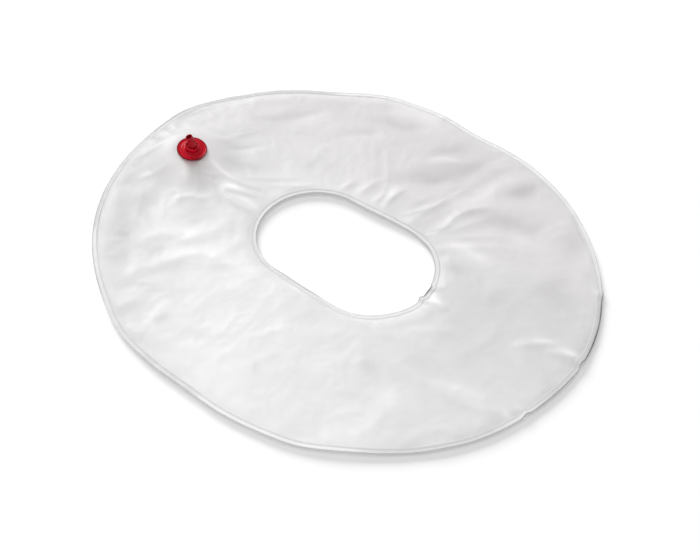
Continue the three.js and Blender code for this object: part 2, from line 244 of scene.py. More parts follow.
# Each crease is (half width, height, points along it), in millimetres in plan.
# A negative height is a valley. Every height is multiplied by CREASE_GAIN.
CREASE_GAIN = 1.25
VALVE_FOLDS = [
    (2.0, 1.5, [(-151, 8), (-141, 5), (-129, 4), (-110, 7), (-95, 13)]),
    (2.2, 1.5, [(-130, -8), (-119, -6), (-105, -1), (-93, 4)]),
    (2.2, 1.4, [(-124, -12), (-112, -14), (-98, -15), (-84, -13)]),
    (1.8, 0.9, [(-140, -10), (-130, -14), (-113, -23)]),
    (2.6, -1.2, [(-148, -4), (-134, -6), (-120, -9)]),
    (2.4, -1.8, [(-163, -9), (-156, -15), (-143, -26)]),
    (1.8, 1.1, [(-180, 13), (-192, 16), (-209, 24)]),
    (1.8, 1.1, [(-183, 6), (-196, 8), (-212, 8)]),
    (1.8, 1.0, [(-183, -2), (-194, -8), (-208, -24)]),
    (2.0, -1.0, [(-182, 10), (-195, 12), (-211, 16)]),
    (2.0, -1.0, [(-184, 1), (-197, 0), (-211, -6)]),
    (2.6, 1.0, [(-146, -44), (-139, -33), (-127, -27)]),
    (2.2, 0.8, [(-158, -38), (-149, -36), (-142, -44)]),
    (2.2, 0.8, [(-170, -14), (-176, -26), (-190, -44)]),
    (2.4, 0.7, [(-118, 13), (-98, 28), (-78, 44)]),
    (2.4, 0.6, [(-104, 13), (-84, 28), (-62, 43)]),
    (2.4, 0.8, [(-165, 20), (-158, 42), (-146, 66)]),
    (2.4, -0.7, [(-154, 18), (-142, 38), (-126, 58)]),
]
LEFT_FOLDS = [
    (5.0, 1.2, [(-118, -128), (-104, -98), (-95, -82), (-82, -72), (-57, -69), (-18, -65)]),
    (5.0, 1.0, [(-139, -107), (-131, -81), (-122, -73), (-110, -71), (-99, -52), (-94, -26)]),
    (9.0, -1.1, [(-168, -64), (-150, -52)]),
    (4.0, -0.9, [(-148, -98), (-134, -114), (-121, -130)]),
    (5.0, 0.8, [(-196, -60), (-178, -82), (-160, -96)]),
]
LOWER_FOLDS = [
    (3.0, 0.9, [(-74, -143), (-71, -153), (-62, -156), (-55, -149)]),
    (4.5, 0.7, [(-86, -171), (-66, -166)]),
    (4.0, 0.8, [(-105, -163), (-96, -142)]),
    (4.0, 0.7, [(1, -124), (11, -101), (23, -90)]),
    (6.0, -0.4, [(38, -81), (56, -86), (74, -88)]),
    (4.0, 0.8, [(98, -136), (114, -117)]),
    (5.0, 0.9, [(122, -148), (127, -120), (124, -98)]),
    (3.6, 1.0, [(210, -46), (178, -66), (137, -69), (108, -66)]),
    (4.0, 0.7, [(83, -45), (111, -23), (134, -11)]),
    (2.6, 1.6, [(85, 4), (94, 1), (107, -2)]),
]
RIGHT_FOLDS = [
    (3.0, 1.1, [(166, 1), (176, 10), (193, 23)]),
    (2.8, 1.4, [(188, 12), (203, 17), (214, 21)]),
    (8.0, -0.9, [(135, 126), (166, 108)]),
    (12.0, -1.2, [(154, 78), (170, 66), (186, 54)]),
    (5.0, 1.2, [(-13, 113), (1, 127), (20, 142), (36, 151)]),
    (6.0, -1.4, [(-14, 88), (15, 111), (30, 139), (38, 161)]),
    (2.8, 1.2, [(-4, 54), (-3, 78), (0, 90)]),
    (2.8, 1.3, [(12, 59), (21, 71), (31, 86), (34, 106)]),
    (3.2, 1.6, [(35, 48), (50, 64), (53, 90), (63, 107), (80, 118)]),
    (7.0, -1.5, [(64, 126), (80, 140), (96, 151)]),
    (7.0, -1.2, [(86, 101), (110, 108), (119, 128)]),
]
TOP_FOLDS = [
    (5.0, -1.0, [(-147, 80), (-124, 108), (-115, 128)]),
    (4.0, -1.0, [(-88, 100), (-72, 119), (-55, 130)]),
    (5.0, -1.0, [(-92, 129), (-62, 143), (-25, 161)]),
    (2.4, 0.9, [(-44, 50), (-40, 72)]),
    (2.4, 0.9, [(-29, 57), (-24, 84)]),
    (2.4, 0.7, [(-14, 56), (-10, 74)]),
]

# ---- Haze, painted highlights and painted shade of the upper film ----

# Streaks of painted highlight and painted shade on the film, many along its folds: half width in
# millimetres, tone, points.
# Tones are multiplied by STREAK_GAIN, and one tone is the step of the film's brightness given
# below.
# Below 0 is painted shade.
HAZE_AND_PAINTED_LIGHT_STEP = 0.016
STREAK_GAIN = 1.4
TOP_PAINTED_STREAKS = [
    (4, -7, [(-70, 146), (-52, 148), (-34, 158)]),
    (4, -6, [(-170, 70), (-155, 80), (-142, 92), (-135, 112)]),
    (4, -6, [(-182, 34), (-166, 45), (-149, 64), (-140, 74)]),
    (4, -7, [(-147, 16), (-130, 22), (-113, 34)]),
    (3, -5, [(-165, 23), (-156, 31), (-145, 42)]),
    (3, -6, [(-87, 52), (-83, 66), (-85, 78)]),
    (3, 5, [(-88, 2), (-85, 20), (-62, 51)]),
    (6, 7, [(-73, 160), (-38, 172), (-20, 174)]),
]
# The last streak is wide: a painted highlight that brightens the near side of the valve's tent,
# which stands in shade.
VALVE_PAINTED_STREAKS = [
    (3, 9, [(-214, 11), (-207, 10), (-197, 7)]),
    (2, -8, [(-215, 20), (-205, 15), (-193, 12)]),
    (2.2, 7, [(-217, 26), (-207, 21), (-194, 17)]),
    (2.2, -5, [(-211, 30), (-204, 21), (-192, 15)]),
    (1.6, 6, [(-204, 34), (-195, 27), (-187, 25)]),
    (2.6, -6, [(-218, 3), (-208, 2), (-197, 4)]),
    (2.6, 6, [(-211, -22), (-205, -12), (-195, -2), (-186, 8)]),
    (2, 5, [(-218, -4), (-207, -3)]),
    (1.6, -4, [(-205, -26), (-200, -14), (-190, -5)]),
    (2.0, -7, [(-163, -4), (-153, -14), (-142, -27)]),
    (1.8, 7, [(-161, -16), (-152, -22)]),
    (1.5, 10, [(-153, 8), (-136, 5), (-123, 5)]),
    (1.3, 6, [(-148, -8), (-141, -3), (-135, 3)]),
    (1.5, 6, [(-141, -10), (-133, -6), (-122, 3)]),
    (2, 4, [(-178, -21), (-170, -13)]),
    (13, 9, [(-174, -20), (-160, -22), (-144, -12)]),
]
LEFT_PAINTED_STREAKS = [
    (6, 5, [(-119, -124), (-108, -97), (-96, -81), (-84, -70), (-62, -67), (-20, -63)]),
    (6, 4, [(-139, -102), (-133, -80), (-126, -69), (-112, -63), (-103, -48), (-98, -26)]),
    (12, -2, [(-171, -75), (-170, -48), (-153, -40)]),
    (7, -7, [(-163, -98), (-148, -97)]),
    (7, -5, [(-127, -58), (-120, -41), (-111, -28)]),
    (3, -5, [(-120, -106), (-120, -95), (-115, -86)]),
    (1.6, 13, [(-126, -3), (-110, 1)]),
    (2, 9, [(-116, -10), (-100, -6), (-84, -8)]),
    (1.4, 8, [(-133, -34), (-132, -28), (-126, -18)]),
]
LOWER_PAINTED_STREAKS = [
    (20, 3, [(40, -95), (75, -86)]),
    (20, 4, [(90, -150), (150, -130)]),
    (4, -6, [(-72, -142), (-63, -145)]),
    (3, 5, [(-72, -150), (-78, -138), (-76, -127)]),
    (3, 6, [(-69, -159), (-56, -157), (-51, -149)]),
    (6, -2, [(39, -82), (56, -85), (70, -90)]),
    (4, -6, [(83, -79), (96, -88)]),
    (2, -5, [(19, -132), (26, -144)]),
    (5, 6, [(117, -110), (121, -95), (116, -81)]),
    (4, 5, [(80, -51), (96, -38), (111, -20)]),
    (3, 5, [(134, -67), (150, -60), (180, -52)]),
    (2, 11, [(194, -58), (206, -55)]),
    (2, 8, [(-13, -55), (8, -55)]),
]
RIGHT_PAINTED_STREAKS = [
    (4, -8, [(-9, 131), (-4, 143), (5, 153), (15, 161)]),
    (6, -7, [(-21, 81), (-13, 96), (0, 108), (13, 113), (25, 124), (36, 147), (48, 158)]),
    (2, -6, [(16, 65), (20, 80), (28, 92), (36, 118)]),
    (2, -6, [(-3, 61), (-3, 78)]),
    (6, -7, [(40, 81), (51, 95), (67, 101), (93, 110), (109, 113), (114, 132)]),
    (2, -7, [(37, 54), (46, 61), (58, 77)]),
    (5, -9, [(69, 135), (78, 144), (84, 162)]),
    (9, -4, [(136, 116), (156, 126)]),
    (4, -7, [(72, 37), (85, 39), (94, 39)]),
    (11, -5, [(142, 62), (163, 66), (181, 60), (195, 48)]),
    (7, -2, [(131, 44), (142, 24)]),
    (1.6, 7, [(-6, 127), (4, 138), (18, 142)]),
    (2, 7, [(-10, 90), (-9, 79), (-7, 65)]),
    (4, 6, [(29, 68), (39, 90), (51, 110), (57, 130), (64, 150), (78, 164)]),
    (4, 9, [(52, 55), (74, 62), (104, 62)]),
    (4, 5, [(102, 97), (118, 99)]),
    (2.6, 14, [(86, 2), (103, 1)]),
    (10, -4, [(-92, -40), (-84, -34)]),
    (1.6, 9, [(174, 14), (191, 25)]),
    (2, 12, [(197, 20), (209, 23), (213, 27)]),
]


def smooth_path(points, steps=8):
    """A Catmull-Rom curve through points."""
    ends = [2 * points[0] - points[1], *points, 2 * points[-1] - points[-2]]
    t = np.linspace(0, 1, steps, endpoint=False)[:, None]
    spans = []
    for a, b, c, d in zip(ends, ends[1:], ends[2:], ends[3:]):
        curve = (2 * b + (c - a) * t + (2 * a - 5 * b + 4 * c - d) * t**2
                 + (3 * b - a - 3 * c + d) * t**3)
        spans.append(curve / 2)
    return np.concatenate([*spans, points[-1:]])


def crease(x, y, half_width, height, points):
    """What one crease adds to the height: a soft ridge that fades at both ends."""
    path = smooth_path(np.array(points, float) * MM)
    starts, steps = path[:-1], np.diff(path, axis=0)
    lengths = np.linalg.norm(steps, axis=1)
    reach = 6 * half_width * MM
    low, high = path.min(0) - reach, path.max(0) + reach
    near = (x > low[0]) & (x < high[0]) & (y > low[1]) & (y < high[1])
    to_start = np.stack([x[near], y[near]], axis=1)[:, None] - starts
    share = np.clip((to_start * steps).sum(2) / lengths**2, 0, 1)
    apart = np.linalg.norm(to_start - share[..., None] * steps, axis=2)
    nearest = apart.argmin(1)
    rows = np.arange(len(nearest))
    along = (np.cumsum(lengths) - lengths)[nearest] + share[rows, nearest] * lengths[nearest]
    fade = np.sin(math.pi * np.clip(along / lengths.sum(), 0.03, 0.97)) ** 0.7
    added = np.zeros_like(x)
    added[near] = height * MM * fade / np.cosh(apart[rows, nearest] / (half_width * MM))
    return added


def all_creases(x, y, creases, gain):
    """A list of creases together, each at gain times its listed height."""
    total = np.zeros_like(x)
    for half_width, height, points in creases:
        total += crease(x, y, half_width, gain * height, points)
    return total


# ---- The films ----

FILM_AROUND, FILM_ACROSS = 800, 100

# The valve's tent: the film is flat under the flange, falls over TENT_RUN, and a wider and
# lower swelling carries it.
CLAMP_RADIUS = 13.5 * MM
TENT_RUN = 32 * MM
SWELLING = 5 * MM
SWELLING_REACH = 40 * MM


def shoulder(distance, length):
    """0 at a weld, rising to 1 where the rolled edge ends."""
    left = np.clip(1 - distance / length, 0, 1)
    return 1 - left**2.2


def film_grid(around, across):
    """Plan points of a film, with each point's angle and distances to the two welds."""
    angle = (np.arange(around) / around * FULL_TURN)[:, None]
    inner = hole_reach(angle) + WELD_WIDTH
    outer = rim_reach(angle) - WELD_WIDTH
    share = np.linspace(0, 1, across)[None, :]
    reach = inner + (outer - inner) * share
    x, y = reach * np.cos(angle), reach * np.sin(angle)
    return x, y, angle, reach - inner, outer - reach


def puckers(angle, edge, size, seed):
    """Short gathers that run in from a weld."""
    return wander(edge * np.cos(angle), edge * np.sin(angle), size, seed)


def tent(x, y, height):
    """Swells the film near the valve and draws it up to the plane where the valve clamps it."""
    dx, dy = x - VALVE_PLACE.x, y - VALVE_PLACE.y
    reach = np.hypot(dx, dy)
    plane = VALVE_PLACE.z - (VALVE_AXIS.x * dx + VALVE_AXIS.y * dy) / VALVE_AXIS.z
    fall = np.clip((reach - CLAMP_RADIUS) / TENT_RUN, 0, 1)
    share = (1 - fall**2) ** 2.4
    swollen = height + SWELLING * peak(reach, 0, SWELLING_REACH)
    return swollen + share * (plane - swollen)


def haze_and_painted_light(x, y):
    """How bright the film is at each point, from random clouds of haze plus painted highlights and
    painted shade: 1 is its usual tone.
    """
    clouds = 1.8 * wander(x, y, 26 * MM, 61.2) + 1.4 * wander(x, y, 11 * MM, 67.8)
    painted_streaks = TOP_PAINTED_STREAKS + VALVE_PAINTED_STREAKS + LEFT_PAINTED_STREAKS + LOWER_PAINTED_STREAKS + RIGHT_PAINTED_STREAKS
    tone = clouds + all_creases(x, y, painted_streaks, STREAK_GAIN) / MM
    # Painted shade: three parts of the ring are darker, each from 0 to 1 over a soft edge.
    near_left = np.clip((-0.75 * x - 0.65 * y - 110 * MM) / (75 * MM), 0, 1)
    far_left = np.clip((-190 * MM - x) / (25 * MM), 0, 1)
    right = np.clip(x / (120 * MM), 0, 1) * np.clip((90 * MM - y) / (60 * MM), 0, 1)
    return 1 + HAZE_AND_PAINTED_LIGHT_STEP * (tone - 11 * near_left - 9 * far_left - 7 * right)


def folded(values):
    """Turns smooth noise into soft ridges where it passes through 0."""
    ridge_height, softness = 0.3, 0.12
    return ridge_height - np.sqrt(values**2 + softness**2)


def ridges(x, y, size, seed):
    """Crumpled film: a net of soft ridges about size apart, between shallow hollows."""
    warp = 0.35 * size
    warped_x = x + warp * wander(x, y, 1.3 * size, seed + 50)
    warped_y = y + warp * wander(x, y, 1.3 * size, seed + 60)
    return folded(wander(warped_x, warped_y, size, seed))


def radial_folds(angle, from_hole, from_rim, size, seed):
    """Folds that run from the hole towards the rim, as the slack film gathers round the ring."""
    share = from_hole / (from_hole + from_rim)
    radius = 130 * MM
    around = radius * np.cos(angle) + 0 * share
    swirled = angle + 0.2 * wander(around, 90 * MM * share, 55 * MM, seed + 70)
    places = [radius * np.cos(swirled), radius * np.sin(swirled), 34 * MM * share + seed * size]
    flat = np.stack([np.ravel(place) / size for place in places], axis=1)
    values = np.array([noise.noise(place) for place in flat.tolist()]).reshape(share.shape)
    return folded(values)


def upper_film(material):
    """The wrinkled film on top, drawn up to the valve."""
    x, y, angle, from_hole, from_rim = film_grid(FILM_AROUND, FILM_ACROSS)
    near_hole = from_hole < from_rim
    edge = np.where(near_hole, hole_height(angle), rim_height(angle)) + HALF_GAP
    full = UPPER_LEVEL + 0.6 * MM * wander(x, y, 80 * MM, 1.3)
    rise = shoulder(np.minimum(from_hole, from_rim), UPPER_SHOULDER)
    height = edge + (full - edge) * rise

    listed = VALVE_FOLDS + LEFT_FOLDS + LOWER_FOLDS + RIGHT_FOLDS + TOP_FOLDS
    folds = all_creases(x, y, listed, CREASE_GAIN)
    # The film is slackest, and gathers deepest, on the ring's far right.
    slack = 0.2 + 0.8 * bump(angle, 58, 42)
    gathers = radial_folds(angle, from_hole, from_rim, 24 * MM, 5.5) * 2.8 * MM * slack
    crumple = 1.2 * MM * ridges(x, y, 30 * MM, 2.7) + 0.4 * MM * ridges(x, y, 12 * MM, 9.1)
    fine = 0.07 * MM * wander(x, y, 6 * MM, 8.2) + 0.03 * MM * wander(x, y, 3 * MM, 2.2)
    rim_gathers = puckers(angle, rim_reach(angle), 9 * MM, 11.5) * np.exp(-from_rim / (12 * MM))
    hole_gathers = puckers(angle, hole_reach(angle), 8 * MM, 13.5) * np.exp(-from_hole / (10 * MM))
    at_weld = np.clip(np.minimum(from_hole, from_rim) / (4 * MM), 0, 1)
    relief = folds + gathers + crumple + fine + 0.4 * MM * (rim_gathers + hole_gathers)
    height = tent(x, y, height + at_weld * relief)
    made = grid_object("upper_film_vinyl", np.stack([x, y, height], axis=-1), material)
    # The points' haze, with painted highlights and painted shade, for the material.
    point_values(made, "haze_and_painted_light", haze_and_painted_light(x, y))
    return made


def lower_film(material):
    """The film that lies on the table, with slight ripples."""
    x, y, angle, from_hole, from_rim = film_grid(FILM_AROUND // 2, FILM_ACROSS // 2)
    near_hole = from_hole < from_rim
    edge = np.where(near_hole, hole_height(angle), rim_height(angle)) - HALF_GAP
    rise = shoulder(np.minimum(from_hole, from_rim), LOWER_SHOULDER)
    ripples = 0.5 * MM * np.abs(wander(x, y, 22 * MM, 21.3)) * rise
    height = edge + (LOWER_LEVEL - edge) * rise + ripples
    made = grid_object("lower_film_vinyl", np.stack([x, y, height], axis=-1), material)
    point_values(made, "haze_and_painted_light", np.ones_like(x))
    return made


# ---- The welds ----

# Half of a weld's section: millimetres in from the free edge, and half its thickness.
# A bead at the cut edge, the pressed channel, and the bead squeezed out beside the films.
WELD_SECTION = [
    (0.0, 0.10), (0.12, 0.34), (0.4, 0.46), (0.75, 0.42), (1.05, 0.27), (1.4, 0.22),
    (2.2, 0.20), (3.0, 0.22), (3.35, 0.30), (3.7, 0.42), (4.1, 0.44), (4.5, 0.36), (4.8, 0.22),
]
CHANNEL_MIDDLE, INNER_BEAD_MIDDLE = 2.2, 3.9
WELD_AROUND = 900


def weld(name, edge, height, inward, edge_shade, painted_shine, bead_shade, material):
    """A pressed band round an edge. inward is -1 for the rim and 1 for the hole.

    The point value stored on the band is painted light and shade: 0.5 is its usual tone, less is
    painted shade and more a painted highlight.
    """
    angle = (np.arange(WELD_AROUND) / WELD_AROUND * FULL_TURN)[:, None]
    half = WELD_SECTION if inward > 0 else WELD_SECTION[::-1]
    under = [(d, -t) for d, t in half]
    over = [(d, t) for d, t in reversed(half)]
    section = np.array(under + over) * MM
    out = edge(angle) + inward * section[:, 0]
    x, y = out * np.cos(angle), out * np.sin(angle)
    crimp = 0.12 * MM * wander(x, y, 6 * MM, 31.7)
    grid = np.stack([x, y, height(angle) + section[:, 1] + crimp], axis=-1)
    made = grid_object(name, grid, material, closed=True)

    depth = section[:, 0] / MM
    uneven = 1 + 0.35 * wander(x, y, 14 * MM, 41.9)
    # Painted light and shade: dark lines on the cut edge and the inner bead, and a lighter channel.
    dark = 0.05 + stretch_of(angle, edge_shade)
    cut_edge_shade = dark * uneven * peak(depth, 0, 0.5 + 1.1 * dark)
    inner_bead_shade = (0.07 + stretch_of(angle, bead_shade)) * uneven * peak(depth, INNER_BEAD_MIDDLE, 0.5)
    channel_shine = stretch_of(angle, painted_shine) * peak(depth, CHANNEL_MIDDLE, 1.1)
    painted_shading = np.clip(0.5 + 0.5 * channel_shine - cut_edge_shade - inner_bead_shade, 0, 1)
    point_values(made, "painted_shading", painted_shading)
    return made


# ---- Materials ----


def shader(name, colour, roughness, **settings):
    """A material whose Principled shader is set, with its node tree to add to."""
    made = bpy.data.materials.new(name)
    made.use_nodes = True
    principled = made.node_tree.nodes["Principled BSDF"]
    principled.inputs["Base Color"].default_value = (*colour, 1)
    principled.inputs["Roughness"].default_value = roughness
    for socket, value in settings.items():
        principled.inputs[socket.replace("_", " ")].default_value = value
    return made, made.node_tree, principled


def texture(tree, scale, detail):
    """Noise over the object's own coordinates, in metres."""
    place = tree.nodes.new("ShaderNodeTexCoord")
    made = tree.nodes.new("ShaderNodeTexNoise")
    made.inputs["Scale"].default_value = scale
    made.inputs["Detail"].default_value = detail
    tree.links.new(place.outputs["Object"], made.inputs["Vector"])
    return made.outputs["Fac"]


def ramp(tree, value, low, high, at=(0.3, 0.7), middle=None):
    """Colours from low to high as value goes between the two places, by way of middle."""
    made = tree.nodes.new("ShaderNodeValToRGB")
    for element, place, colour in zip(made.color_ramp.elements, at, (low, high)):
        element.position = place
        element.color = (*colour, 1)
    if middle:
        made.color_ramp.elements.new(sum(at) / 2).color = (*middle, 1)
    tree.links.new(value, made.inputs["Fac"])
    return made.outputs["Color"]


def attribute(tree, name):
    """A number stored on the mesh's points."""
    made = tree.nodes.new("ShaderNodeAttribute")
    made.attribute_name = name
    return made.outputs["Fac"]


def scaled(tree, colour, value):
    """A colour times a number."""
    made = tree.nodes.new("ShaderNodeVectorMath")
    made.operation = "SCALE"
    tree.links.new(colour, made.inputs["Vector"])
    tree.links.new(value, made.inputs["Scale"])
    return made.outputs["Vector"]


def spread(tree, value, low, high, at=(0.3, 0.7)):
    """A number from low to high as value goes between the two places."""
    made = tree.nodes.new("ShaderNodeMapRange")
    for socket, number in zip(("From Min", "From Max", "To Min", "To Max"), (*at, low, high)):
        made.inputs[socket].default_value = number
    tree.links.new(value, made.inputs["Value"])
    return made.outputs["Result"]


def bumped(tree, principled, height, strength, depth):
    """Fine relief from a height of 0 to 1, depth deep in metres."""
    made = tree.nodes.new("ShaderNodeBump")
    made.inputs["Strength"].default_value = strength
    made.inputs["Distance"].default_value = depth
    tree.links.new(height, made.inputs["Height"])
    tree.links.new(made.outputs["Normal"], principled.inputs["Normal"])


def vinyl_film():
    """Hazy vinyl with soft gloss; its colour is painted a little darker and warmer towards the far
    side, as painted shade.
    """
    settings = {"Alpha": 0.6, "Specular_IOR_Level": 0.18}
    made, tree, principled = shader("film_vinyl", (0.8, 0.8, 0.8), 0.3, **settings)
    place = tree.nodes.new("ShaderNodeTexCoord")
    split = tree.nodes.new("ShaderNodeSeparateXYZ")
    tree.links.new(place.outputs["Object"], split.inputs["Vector"])
    # Painted shade: the colour falls from 0.96 to 0.83 towards +Y, standing in for less light on
    # the far side.
    across = spread(tree, split.outputs["Y"], 0, 1, (-0.16, 0.14))
    colour = ramp(tree, across, (0.96, 0.96, 0.96), (0.83, 0.815, 0.815), (0, 1))
    # The colour is multiplied by the points' haze, painted highlights and painted shade.
    tree.links.new(scaled(tree, colour, attribute(tree, "haze_and_painted_light")), principled.inputs["Base Color"])
    tree.links.new(spread(tree, texture(tree, 60, 3), 0.26, 0.4), principled.inputs["Roughness"])
    bumped(tree, principled, texture(tree, 420, 2), 0.15, 0.3 * MM)
    return made


def weld_vinyl():
    """Fused vinyl: a little glossier than the film, with painted shade on its beads and painted
    highlights along stretches of its channel.
    """
    settings = {"Alpha": 0.6, "Specular_IOR_Level": 0.2}
    made, tree, principled = shader("weld_vinyl", (0.7, 0.7, 0.7), 0.28, **settings)
    painted_shading = attribute(tree, "painted_shading")
    # Painted light and shade: near black on the painted shade, white on the painted highlights.
    colour = ramp(tree, painted_shading, (0.05, 0.05, 0.052), (1, 1, 1), (0, 1), (0.80, 0.80, 0.802))
    tree.links.new(colour, principled.inputs["Base Color"])
    tree.links.new(spread(tree, texture(tree, 150, 2), 0.22, 0.36), principled.inputs["Roughness"])
    bumped(tree, principled, texture(tree, 260, 3), 0.2, 0.3 * MM)
    return made


def moulded(name, dark, light, roughness, toned=False, **settings):
    """Moulded plastic or rubber: slight mottle, uneven gloss and a fine moulded skin.

    A toned material also multiplies its colour by the painted shade and highlights that turned()
    stores on the points.
    """
    made, tree, principled = shader(name, light, roughness, **settings)
    mottle = ramp(tree, texture(tree, 180, 3), dark, light)
    # The points' tone holds painted shade and painted highlights.
    if toned:
        mottle = scaled(tree, mottle, attribute(tree, "tone"))
    tree.links.new(mottle, principled.inputs["Base Color"])
    gloss = spread(tree, texture(tree, 340, 3), 0.8 * roughness, 1.25 * roughness)
    tree.links.new(gloss, principled.inputs["Roughness"])
    bumped(tree, principled, texture(tree, 900, 3), 0.15, 0.1 * MM)
    return made


# ---- The valve, turned about its own axis, in millimetres ----

VALVE_SEGMENTS = 120
PITCH = 3.0
THREAD_RUN_OUT = 8  # steps of a thread's ends

# The nozzle's grip ribs lie on the outside of its neck, between two heights.
NECK_RIBS, NECK_RIB_DEPTH = 12, 0.35
NECK_BOTTOM, NECK_TOP, NECK_INSIDE = 8.2, 13.9, 2.6

# The nut's finger notches are parts of circles about points near its edge.
NOTCHES, NOTCH_MIDDLE, NOTCH_RADIUS = 8, 10.9, 1.2


def rounded(profile, radius, steps=4):
    """A closed outline with each corner eased over radius, or over less on short sides."""
    points = [Vector(p) for p in profile]
    eased = []
    for k, corner in enumerate(points):
        before, after = points[k - 1] - corner, points[(k + 1) % len(points)] - corner
        if corner.x == 0:
            eased.append(corner)
            continue
        start = corner + before.normalized() * min(radius, 0.42 * before.length)
        end = corner + after.normalized() * min(radius, 0.42 * after.length)
        for step in range(steps + 1):
            t = step / steps
            eased.append(start * (1 - t) ** 2 + corner * 2 * t * (1 - t) + end * t**2)
    return eased


def bent(points):
    """Leans over what is above BEND_BOTTOM, along an arc and then straight on."""
    x, y, z = np.moveaxis(points, -1, 0)
    above = z - BEND_BOTTOM
    turn = np.clip(above / BEND_LENGTH, 0, 1) * BEND_ANGLE
    beyond = np.maximum(above - BEND_LENGTH, 0)
    radius = BEND_LENGTH / BEND_ANGLE
    c, s = math.cos(BEND_HEADING), math.sin(BEND_HEADING)
    along, across = x * c + y * s, y * c - x * s
    out = radius * (1 - np.cos(turn)) + beyond * np.sin(turn) + along * np.cos(turn)
    up = radius * np.sin(turn) + beyond * np.cos(turn) - along * np.sin(turn)
    moved = np.stack([out * c - across * s, out * s + across * c, BEND_BOTTOM + up], axis=-1)
    return np.where((above > 0)[..., None], moved, points)


def painted_valve_light(angle, r, z):
    """How bright the red plastic is at each point: 1 is its usual tone.

    Painted shade darkens the flange's rim, with a painted highlight as a lighter line inside it.
    The mouth has painted shade inside, and the hub's edge a painted highlight on the side that
    faces the camera.
    """
    flange_rim_light_and_shade = np.clip((r - 11.9) / 0.6, 0, 1) - 0.35 * peak(r, 11.3, 0.35) * (z > 2)
    mouth_shade = np.clip((2.8 - r) / 0.2, 0, 1) * (z > 8)
    towards_camera = np.clip(np.cos(angle + 0.9), 0, 1) ** 3
    hub_edge_highlight = peak(r, 5.7, 0.6) * (np.abs(z - 6.8) < 0.6) * towards_camera
    return 1 - 0.48 * flange_rim_light_and_shade - 0.35 * mouth_shade + 0.45 * hub_edge_highlight


def turned(name, profile, material, radius=0.25, reshape=None, threads=()):
    """Turns a closed outline of (radius, height), listed anticlockwise.

    radius eases the outline's corners. reshape moves the turned points. threads are ridges on
    the same piece.
    """
    outline = rounded(profile, radius)
    angle = (np.arange(VALVE_SEGMENTS) / VALVE_SEGMENTS * FULL_TURN)[:, None]
    r = np.array([p.x for p in outline])[None, :] * np.ones_like(angle)
    z = np.array([p.y for p in outline])[None, :] * np.ones_like(angle)
    grid = np.stack([r * np.cos(angle), r * np.sin(angle), z], axis=-1)
    # Painted shade and painted highlights on the red plastic, stored on the points.
    tone = painted_valve_light(angle, r, z)
    if reshape:
        grid = reshape(grid)
    points = grid.reshape(-1, 3)
    faces = ring_faces(*grid.shape[:2], closed=True).tolist()
    for ridge_points, ridge_faces in threads:
        faces += (np.array(ridge_faces) + len(points)).tolist()
        points = np.concatenate([points, ridge_points])
    made = mesh_object(name, (points * MM).tolist(), faces, material)
    on_threads = np.ones(len(points) - tone.size)
    point_values(made, "tone", np.concatenate([tone.ravel(), on_threads]))
    if any(p.x == 0 for p in outline):
        weld_doubles(made)
    made.data.transform(VALVE_FRAME)
    return made


def thread(root, crest, start, turns):
    """A right-hand ridge from its root's radius out (or in) to its crest's, with closed ends."""
    steps = int(turns * VALVE_SEGMENTS)
    step = np.arange(steps + 1)
    angle, rise = step / VALVE_SEGMENTS * FULL_TURN, step / VALVE_SEGMENTS * PITCH
    run_out = np.clip(np.minimum(step, steps - step) / THREAD_RUN_OUT, 0.05, 1)
    section = [(0, -0.55), (1, -0.35), (1, 0.35), (0, 0.55)]
    if crest < root:
        section.reverse()
    rings = []
    for share, up in section:
        r = root + share * (crest - root) * run_out
        rings.append(np.stack([r * np.cos(angle), r * np.sin(angle), start + rise + up], axis=-1))
    points = np.stack(rings, axis=1).reshape(-1, 3)
    faces = [[4 * i + k, 4 * (i + 1) + k, 4 * (i + 1) + (k + 1) % 4, 4 * i + (k + 1) % 4]
             for i in range(steps) for k in range(4)]
    faces += [[0, 1, 2, 3], [4 * steps + 3, 4 * steps + 2, 4 * steps + 1, 4 * steps]]
    return points, faces


def weld_doubles(made):
    """Joins points that fall together on the axis, and drops the faces that vanish."""
    work = bmesh.new()
    work.from_mesh(made.data)
    bmesh.ops.remove_doubles(work, verts=work.verts, dist=1e-6)
    work.to_mesh(made.data)
    work.free()


def ribbed(points):
    """Shallow grip ribs along the nozzle's neck, which then leans over."""
    x, y, z = np.moveaxis(points, -1, 0)
    angle, r = np.arctan2(y, x), np.hypot(x, y)
    from_ends = np.clip((z - NECK_BOTTOM) / 0.5, 0, 1) * np.clip((NECK_TOP - z) / 0.5, 0, 1)
    depth = (r > NECK_INSIDE) * from_ends * NECK_RIB_DEPTH * (0.5 + 0.5 * np.cos(NECK_RIBS * angle))
    cut = 1 - depth / np.maximum(r, 1)
    return bent(np.stack([x * cut, y * cut, z], axis=-1))


def notched(points):
    """Round finger notches in the nut's edge."""
    x, y, z = np.moveaxis(points, -1, 0)
    angle, r = np.arctan2(y, x), np.hypot(x, y)
    apart = (angle / FULL_TURN * NOTCHES) % 1 - 0.5
    aside = np.sin(np.abs(apart) * FULL_TURN / NOTCHES) * NOTCH_MIDDLE
    depth = np.sqrt(np.maximum(NOTCH_RADIUS**2 - aside**2, 0))
    limit = np.where(aside < NOTCH_RADIUS, NOTCH_MIDDLE - depth, np.inf)
    cut = np.minimum(r, limit) / r
    return np.stack([x * cut, y * cut, z], axis=-1)


# ---- Camera ----

camera_data = bpy.data.cameras.new("camera")
camera_data.lens = 74.7
camera = bpy.data.objects.new("camera", camera_data)
bpy.context.scene.collection.objects.link(camera)
camera.location = (0.4975, -0.6315, 0.8870)
aim = Vector((0.0222, -0.0192, 0.0012)) - camera.location
camera.rotation_euler = aim.to_track_quat("-Z", "Y").to_euler()
bpy.context.scene.camera = camera

# ---- Pieces ----

